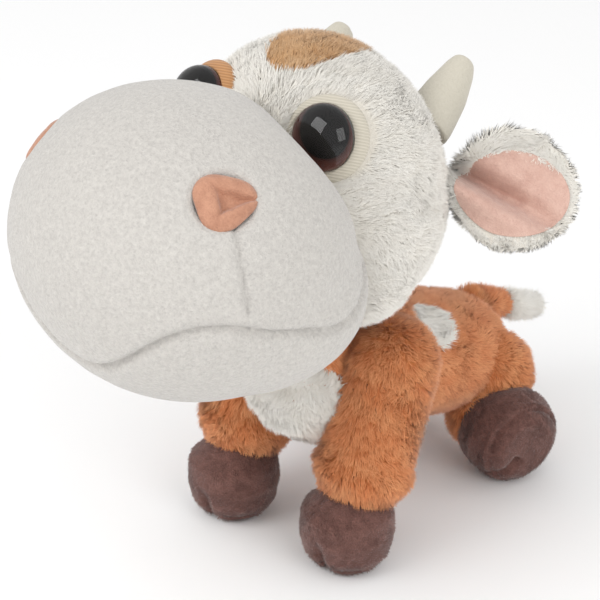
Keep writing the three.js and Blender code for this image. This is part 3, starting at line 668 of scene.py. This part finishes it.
# Muzzle: the mouth is a sewn line, pulled in, that turns up at the cheeks
def mouth_height(x):
    wide = np.abs(x)
    middle, cheek, corner = (MOUTH[key] for key in ("middle", "cheek", "corner"))
    rise = np.interp(wide, (0, MOUTH["cheek_x"], MOUTH["corner_x"]), (0, 1, 1))
    smooth = rise * rise * (3 - 2 * rise)
    last = np.clip((wide - MOUTH["cheek_x"]) / (MOUTH["corner_x"] - MOUTH["cheek_x"]), 0, 1)
    return middle + (cheek - middle) * smooth + (corner - cheek) * last**2


def nostril_reach(local):
    """How far points are from the middle of a nostril, 1 at the rim of its pad."""
    reach = np.hypot(local[:, 0] / NOSTRIL["wide"], local[:, 1] / NOSTRIL["tall"])
    return np.where(np.abs(local[:, 2]) < NOSTRIL_WELL["through"], reach, np.inf)


muzzle_cover = stuffed("muzzle_cover", [egg(MUZZLE, -SWELL), egg(JOWLS, -SWELL)], voxel=1.3, smooth=14)
muzzle_tree = tree_of(muzzle_cover)


def sew_muzzle():
    """The mouth line, the wells of the nostrils and the darts below them."""
    points = points_of(muzzle_cover)
    front = points[:, 1] < MUZZLE["at"][1] + MOUTH_SEAM["back"]
    mouth = bell(points[:, 2] - mouth_height(points[:, 0]), MOUTH_SEAM["wide"])
    pull = eye_hollow(points) + MOUTH_SEAM["deep"] * mouth * front
    for side, sign in SIDES:
        local = in_frame(nostril_frames[side], points)
        pull += NOSTRIL_WELL["deep"] * np.exp(-((nostril_reach(local) / NOSTRIL_WELL["share"]) ** 6))
        dart = local[:, 0] * sign - DART["aside"] + local[:, 1] * DART["lean"]
        run = (local[:, 1] < 0) & (local[:, 1] > -DART["long"])
        run &= np.abs(local[:, 2]) < DART["through"]
        pull += DART["deep"] * bell(dart, DART["wide"]) * run
    move_points(muzzle_cover, points - normals_of(muzzle_cover) * pull[:, None])


sew_muzzle()


def nostril_pad(name, place, sign):
    """A pad of velour let into the muzzle and folded in, to make a three-cornered pocket."""
    bm = bmesh.new()
    bmesh.ops.create_grid(bm, x_segments=56, y_segments=56, size=1)
    look = place.to_3x3() @ Vector((0, 0, -1))
    for vert in bm.verts:
        x, y = vert.co.x, vert.co.y
        spot = Vector((x * math.sqrt(1 - y * y / 2), y * math.sqrt(1 - x * x / 2), 0))
        reach = spot.length
        bearing = math.atan2(spot.y, spot.x * sign)
        corners = 1 + 0.1 * math.cos(3 * bearing - 0.5)
        spot = Vector((spot.x * NOSTRIL["wide"] * corners, spot.y * NOSTRIL["tall"] * corners, 0))
        inward = Vector((spot.x * sign - 1.2, spot.y + 0.2, 0))
        wedge = max(-inward.x, inward.x * 0.35 + abs(inward.y) * 1.05)
        pocket = 1 / (1 + math.exp((wedge - 2.6) * 2.6))
        height = NOSTRIL["proud"] - NOSTRIL["pocket"] * pocket - NOSTRIL["edge"] * reach**10
        start = place @ (spot + Vector((0, 0, 12)))
        hit = muzzle_tree.ray_cast(start, look)[0] or place @ spot
        vert.co = hit - look * height
    bmesh.ops.recalc_face_normals(bm, faces=bm.faces)
    obj = piece(name, bm)
    solid = obj.modifiers.new("cloth", "SOLIDIFY")
    solid.thickness = NOSTRIL["thick"]
    return settle(obj)


def eye_patch(name, place):
    """A knit disc, drawn tight over the wadding under the eye, its edge turned in."""
    radius, crown, middle = (EYE_PATCH[key] for key in ("radius", "crown", "middle"))
    outline = [(0, middle)]
    for i in range(1, 12):
        angle = math.pi / 2 * i / 11
        low = middle - (crown + 3) * (1 - math.cos(angle) ** 0.9)
        outline.append((radius * math.sin(angle) ** 0.8, low))
    outline += [(radius - 0.6, -EYE_PATCH["under"]), (0, -EYE_PATCH["under"] - 2)]
    obj = turned(name, outline, place, voxel=0.4, smooth=3)
    points = points_of(obj)
    eye_place = eye_frame if place.determinant() > 0 else flipped(eye_frame)
    local = in_frame(eye_place, points)
    wide = np.hypot(local[:, 0], local[:, 1])
    edge = np.clip(wide - EYE["radius"] + 0.1, 0, 0.3) / 0.3
    over = np.maximum(local[:, 2] - (0.3 + 1.2 * edge + 1.1 * np.maximum(wide - EYE["radius"], 0)), 0)
    out = np.array(eye_place.to_3x3() @ Vector((0, 0, 1)))
    move_points(obj, points - out * over[:, None])
    ease = obj.modifiers.new("ease", "SMOOTH")
    ease.iterations = 3
    return settle(obj)


def eye_dome(name, place):
    base, radius, tall = EYE["base"] + 0.1, EYE["radius"] + 0.25, EYE["dome"] + 0.3
    outline = [(0, -0.3), (radius - 0.4, -0.3), (radius, 0.2), (radius, base + 0.5)]
    for i in range(1, 14):
        angle = math.pi / 2 * i / 13
        outline.append((radius * math.cos(angle), base + 0.5 + tall * math.sin(angle)))
    return turned(name, outline, place, voxel=None, steps=64)


def eye_disc(name, place):
    low, high, rim = EYE["base"], EYE["base"] + 0.3, EYE["radius"] - 0.1
    return turned(name, [(0, low), (rim, low), (rim, high), (0, high)], place, voxel=None, steps=64)


def horn(name, place):
    low, middle, tip = HORN["radii"]
    end, base = HORN["length"], -HORN["base"]
    outline = [(0, base), (low, base), (low, 0), (middle, end * 0.45), (tip + 0.2, end - tip)]
    outline += [(tip * 0.75, end - tip * 0.3), (0, end)]
    obj = turned(name, outline, Matrix.Identity(4), voxel=0.7, smooth=8)
    points = points_of(obj)
    rise = np.clip(points[:, 2] / end, 0, 1)
    seam = bell(points[:, 1], HORN_SEAM["wide"]) * (points[:, 0] > 0)
    points[:, :2] -= unit(points[:, :2]) * (HORN_SEAM["deep"] * seam)[:, None]
    points[:, 1] += HORN["lean"] * rise**2
    move_points(obj, points)
    obj.data.transform(place)
    if place.determinant() < 0:
        obj.data.flip_normals()
    return obj


def ear_hollow(across, along):
    """How far the face of an ear stands forward: its lower half laps over a crease from the root."""
    near = np.clip(1 - along / EAR_FOLD["long"], 0, 1) ** 0.8
    crease = across + EAR_LAP["at"] - along * EAR_FOLD["slope"]
    curl = EAR_FOLD["curl"] * (along / EAR["long"]) ** 3
    dish = EAR["dish"] * (across / EAR["wide"]) ** 2 + curl
    groove = EAR_GROOVE["deep"] * near * bell(crease, EAR_GROOVE["wide"])
    lap = EAR_LAP["tall"] * near * bell(crease - EAR_LAP["at"], EAR_LAP["wide"])
    return dish - groove + lap + EAR_FOLD["ripple"] * np.sin(across * 0.5 + along * 0.21)


def ear_width(along):
    """The share of its full width that an ear has, this far from its root."""
    root = np.clip(along / 15, 0, 1)
    return 0.6 + 0.4 * root * (2 - root)


def leaf(name, form, place, low=0.0, start=0.0, shift=0.0):
    """A leaf of an ear, narrower at its root."""
    bm = bmesh.new()
    bmesh.ops.create_uvsphere(bm, u_segments=120, v_segments=60, radius=1)
    obj = piece(name, bm)
    x, y, z = points_of(obj).T
    along = start + form["long"] / 2 * (1 + y)
    across = x * form["wide"] * ear_width(along) + shift
    height = ear_hollow(across, along) + z * form["thick"] / 2 + low
    move_points(obj, np.stack([across, along, height], 1))
    obj.data.transform(place)
    if place.determinant() < 0:
        obj.data.flip_normals()
    return settle(obj)


for side, sign in SIDES:
    at = (lambda place: place) if sign > 0 else flipped
    patch_place, eye_place, horn_place = at(patch_frame), at(eye_frame), at(horn_frame)
    # The darker colour of each knit is painted shade in the hollows between the ribs
    colours = ("bdb6a6", "cdc6b7") if sign > 0 else ("ab7a4e", "c39163")
    slot = "rib_knit" if sign > 0 else "tan_knit"
    knit = rib_knit(f"{slot}_{side}", *colours, patch_place)
    dress(eye_patch(f"eye_cover_{side}", patch_place), "head", knit, (f"eye_patch_{side}",))
    dress(eye_dome(f"eye_glass_{side}", eye_place), "head", ACRYLIC, (f"eye_dome_{side}",))
    paint = iris_paint(f"iris_paint_{side}", eye_place)
    dress(eye_disc(f"eye_paint_{side}", eye_place), "head", paint, (f"eye_iris_{side}",))
    dress(horn(f"felt_horn_{side}", horn_place), "head", HORN_FELT, (f"horn_{side}",))
    pad = nostril_pad(f"nostril_pad_{side}", nostril_frames[side], sign)
    dress(pad, "head", SALMON_VELOUR, (f"nostril_{side}",))

    ear_place = at(ear_frame)
    back = leaf(f"ear_back_{side}", EAR, ear_place, start=-2.2)
    middle_of_ear = np.array(ear_place @ Vector((0, EAR["long"] * 0.42, 0)))
    sweep = np.array(ear_place.to_3x3() @ Vector((0, 1, 0)))

    def ear_comb(roots):
        return unit(roots - middle_of_ear) + sweep * 0.3

    def ear_keep(roots):
        x, along, height = in_frame(ear_place, roots).T
        across = (x - LINING["shift"]) / (LINING["wide"] * ear_width(along) - EDGE)
        half = LINING["long"] / 2
        inner = across**2 + ((along - LINING["start"] - half) / (half - EDGE)) ** 2 < 1
        return ~(inner & (height > ear_hollow(x, along)))

    def ear_length(roots):
        """The pile is longest along the upper edge, by the root."""
        x, along, _ = in_frame(ear_place, roots).T
        upper = np.clip((EAR_PILE["upper"] - x) / EAR_PILE["fade"], 0, 1)
        near = np.clip((EAR_PILE["near"] - along) / EAR_PILE["fade"], 0, 1)
        return EAR_PILE["short"] + EAR_PILE["more"] * upper * near

    front = np.array(ear_place.to_3x3() @ Vector((0, 0, 1.2)))
    ear_locks = {"length": ear_length, **EAR_LOCKS}
    made = pile(f"ear_pile_{side}", back, ear_comb, 30 + sign, ear_keep, front, **ear_locks)
    dress_pile(made, f"ear_{side}", CREAM_FLEECE)
    dress(back, f"ear_{side}", CREAM_BACKING, (f"ear_{side}_outer",))
    lining = leaf(f"ear_lining_{side}", LINING, ear_place, LINING["lift"], LINING["start"], LINING["shift"])
    dress(lining, f"ear_{side}", PINK_VELOUR, (f"ear_{side}_inner",))


dress(muzzle_cover, "head", CREAM_VELOUR, ("muzzle_plush", "chin_panel"))


# Body
def torso_places():
    table = np.array(TRUNK, float)
    ys = np.linspace(table[0, 0], table[-1, 0], 24)
    places = []
    for y in ys:
        z, wide, tall = (np.interp(y, table[:, 0], table[:, i]) for i in (1, 2, 3))
        deep = np.interp(y, *TRUNK_STEPS)
        places.append(blob((0, y, z), (wide - PILE, deep - PILE, tall - PILE)))
    top = (0, HEAD["at"][1], NECK["top"])
    return places + chain((0, HEAD["at"][1], NECK["foot"]), top, NECK["radius"], NECK["radius"], less=PILE)


torso_cover = stuffed("torso_cover", torso_places(), voxel=1.4, smooth=12)


def in_bib(points):
    across = (points[:, 0] / BIB["wide"]) ** 2 + ((points[:, 2] - BIB["z"]) / BIB["tall"]) ** 2
    return (across < 1) & (points[:, 1] < BIB["front"])


def in_back_patch(points):
    local = in_frame(back_patch_frame, points)
    across = (local[:, 0] / BACK_PATCH["long"]) ** 2 + (local[:, 1] / BACK_PATCH["wide"]) ** 2
    return (across < 1) & (local[:, 2] > 0)


def under_head(points):
    return ~outside(points, HEAD, -UNDER_HEAD)


def torso_comb(roots):
    return np.array((0, 0.6, -0.6)) + unit(roots - np.array((0, 20, 50))) * 0.2


def cream_place(points):
    return (in_bib(points) | in_back_patch(points)) & ~under_head(points)


def tan_place(points):
    return ~(in_bib(points) | in_back_patch(points) | under_head(points))


made = pile("torso_pile", torso_cover, torso_comb, 21, tan_place, **TRUNK_LOCKS)
dress_pile(made, "torso", TAN_FLEECE)
made = pile("bib_pile", torso_cover, torso_comb, 22, cream_place, **BIB_LOCKS)
dress_pile(made, "torso", CREAM_FLEECE)
torso_nodes = ("body_plush", "body_stuffing", "pellet_bag", "chest_panel", "back_patch")
dress(torso_cover, "torso", TAN_BACKING, torso_nodes)


# Legs
def leg_comb(roots):
    return np.broadcast_to((0, 0.15, -1), roots.shape)


def hoof(name, form, place):
    """A velour hoof with its toes parted by a cleft and a seam round its sole."""
    outline = [(0, 0), *form["outline"], (0, form["outline"][-1][1] + 1)]
    obj = turned(name, outline, Matrix.Identity(4), smooth=6)
    points = points_of(obj)
    pull = CLEFT["deep"] * bell(points[:, 0], CLEFT["wide"]) * (points[:, 1] < CLEFT["front"])
    pull *= np.clip((CLEFT["top"] + CLEFT["fade"] - points[:, 2]) / (2 * CLEFT["fade"]), 0, 1)
    around = np.hypot(points[:, 0], points[:, 1]) > SOLE_SEAM["inside"]
    pull += SOLE_SEAM["deep"] * bell(points[:, 2] - SOLE_SEAM["z"], SOLE_SEAM["wide"]) * around
    move_points(obj, points - normals_of(obj) * pull[:, None])
    obj.data.transform(place)
    if place.determinant() < 0:
        obj.data.flip_normals()
    return obj


for side, sign in SIDES:
    at = (lambda place: place) if sign > 0 else flipped
    body = f"front_leg_{side}"
    top, hem = Vector(FORELEG["top"]), Vector(FORELEG["hem"])
    wide, narrow = FORELEG["radius"]
    low = hem.lerp(top, 0.12)
    cuff = looking(low, hem - top)
    cuff = cuff @ Matrix.Diagonal((FORELEG["cuff"] - PILE, FORELEG["cuff"] - PILE, 9, 1))
    places = [*chain(top, low, wide, narrow, less=PILE), cuff]
    leg = stuffed(f"foreleg_cover_{side}", places, mirror=sign < 0)
    made = pile(f"foreleg_pile_{side}", leg, leg_comb, 40 + sign, **LEG_LOCKS)
    dress_pile(made, body, TAN_FLEECE)
    dress(leg, body, TAN_BACKING, (f"{body}_plush", f"{body}_stuffing"))
    foot = hoof(f"forehoof_cover_{side}", FOREHOOF, at(fore_frame))
    made = pile(f"forehoof_nap_{side}", foot, leg_comb, 70 + sign, **HOOF_LOCKS, tuft=0)
    dress_pile(made, body, BROWN_NAP)
    dress(foot, body, BROWN_VELOUR, (f"front_hoof_{side}", f"front_sole_{side}"))

    body = f"hind_leg_{side}"
    thigh = stuffed(f"thigh_cover_{side}", [egg(HIP, PILE), egg(KNEE, PILE)], mirror=sign < 0)
    made = pile(f"thigh_pile_{side}", thigh, torso_comb, 50 + sign, **LEG_LOCKS)
    dress_pile(made, body, TAN_FLEECE)
    dress(thigh, body, TAN_BACKING, (f"{body}_plush", f"{body}_stuffing"))
    foot = hoof(f"hindhoof_cover_{side}", HINDHOOF, at(hind_frame))
    made = pile(f"hindhoof_nap_{side}", foot, leg_comb, 80 + sign, **HOOF_LOCKS, tuft=0)
    dress_pile(made, body, BROWN_NAP)
    dress(foot, body, BROWN_VELOUR, (f"hind_hoof_{side}", f"hind_sole_{side}"))


# Tail
def tail_part(name, low, high):
    start = tail_frame @ Vector((0, 0, low))
    end = tail_frame @ Vector((0, 0, high))
    share = [np.interp(z, (0, TAIL["length"]), (TAIL["root"], TAIL["tip"])) for z in (low, high)]
    return stuffed(name, chain(start, end, *share, less=TAIL["under"]), voxel=0.9, smooth=6)


def tail_comb(roots):
    return np.broadcast_to(np.array(heading(TAIL_DROOPS)), roots.shape)


tail_root = tail_part("tail_cover", 0, TAIL["seam"] - TAIL["gap"])
tail_end = tail_part("tail_tip_cover", TAIL["seam"] + TAIL["gap"], TAIL["length"] - TAIL["tip"])
made = pile("tail_pile", tail_root, tail_comb, 61, **TAIL_LOCKS)
dress_pile(made, "tail", TAN_FLEECE)
made = pile("tail_tip_pile", tail_end, tail_comb, 62, **TAIL_TIP_LOCKS)
dress_pile(made, "tail", CREAM_FLEECE)
dress(tail_root, "tail", TAN_BACKING, ("tail_plush",))
dress(tail_end, "tail", CREAM_BACKING, ("tail_tip",))

for side, _ in SIDES:
    for node, plastic in ((f"eye_shank_{side}", BLACK_NYLON), (f"eye_washer_{side}", WHITE_NYLON)):
        mesh = bpy.data.objects[node].data
        mesh.materials.clear()
        mesh.materials.append(plastic)

# Studio: white paper for a floor, two soft lamps and a soft surround
bm = bmesh.new()
bmesh.ops.create_grid(bm, x_segments=1, y_segments=1, size=3)
floor = piece("floor", bm)
floor.data.materials.append(begun("white_paper", Roughness=0.9, Base_Color=linear("fcfcfc"))[0])

world = bpy.data.worlds.new("soft_room")
world.use_nodes = True
world.node_tree.nodes["Background"].inputs["Color"].default_value = (1, 1, 1, 1)
world.node_tree.nodes["Background"].inputs["Strength"].default_value = 0.85
bpy.context.scene.world = world

TARGET = Vector((-0.012, -0.0048, 0.0770))


def lamp(name, at, watts, size):
    light = bpy.data.lights.new(name, "AREA")
    light.energy = watts
    light.size = size
    obj = bpy.data.objects.new(name, light)
    obj.location = at
    obj.rotation_euler = (TARGET - Vector(at)).to_track_quat("-Z", "Y").to_euler()
    bpy.context.scene.collection.objects.link(obj)


lamp("key_lamp", (-0.3, -0.85, 0.8), watts=4.8, size=0.7)
lamp("fill_lamp", (0.95, -0.3, 0.6), watts=3.2, size=0.7)

camera_data = bpy.data.cameras.new("camera")
camera_data.lens = 122.5
camera_data.sensor_width = 36
camera_data.shift_x = -0.0025
camera = bpy.data.objects.new("camera", camera_data)
camera.location = (0.3830, -0.4678, 0.3816)
camera.rotation_euler = (TARGET - camera.location).to_track_quat("-Z", "Y").to_euler()
bpy.context.scene.collection.objects.link(camera)
bpy.context.scene.camera = camera
bpy.context.scene.view_settings.view_transform = "Standard"
